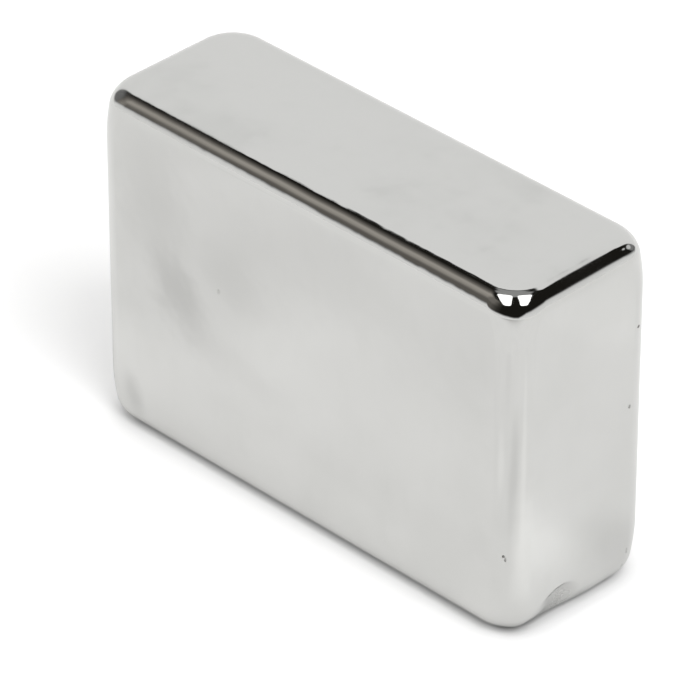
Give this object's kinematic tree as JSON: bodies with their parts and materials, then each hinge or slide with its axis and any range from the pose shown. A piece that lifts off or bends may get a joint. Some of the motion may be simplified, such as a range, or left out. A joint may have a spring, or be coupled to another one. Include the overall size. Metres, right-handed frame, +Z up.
{
  "type": "block magnet",
  "caption": "Rectangular block magnet with softly rounded edges and corners under bright nickel plating, for holding or latching by its large flat pole faces.",
  "frame": {"origin": "middle of the long narrow face that the block stands on", "axes": "+X along the length towards the knocked end, +Y through the thickness from the front pole face to the back one, +Z up"},
  "size_m": [0.03, 0.01, 0.02],
  "materials": {
    "nickel_plate": "bright nickel plating over the tumbled block, mirror-like, faintly wavy, with a few dark pin pits"
  },
  "bodies": {
    "root": {"magnet_block": "nickel_plate"}
  },
  "joints": []
}
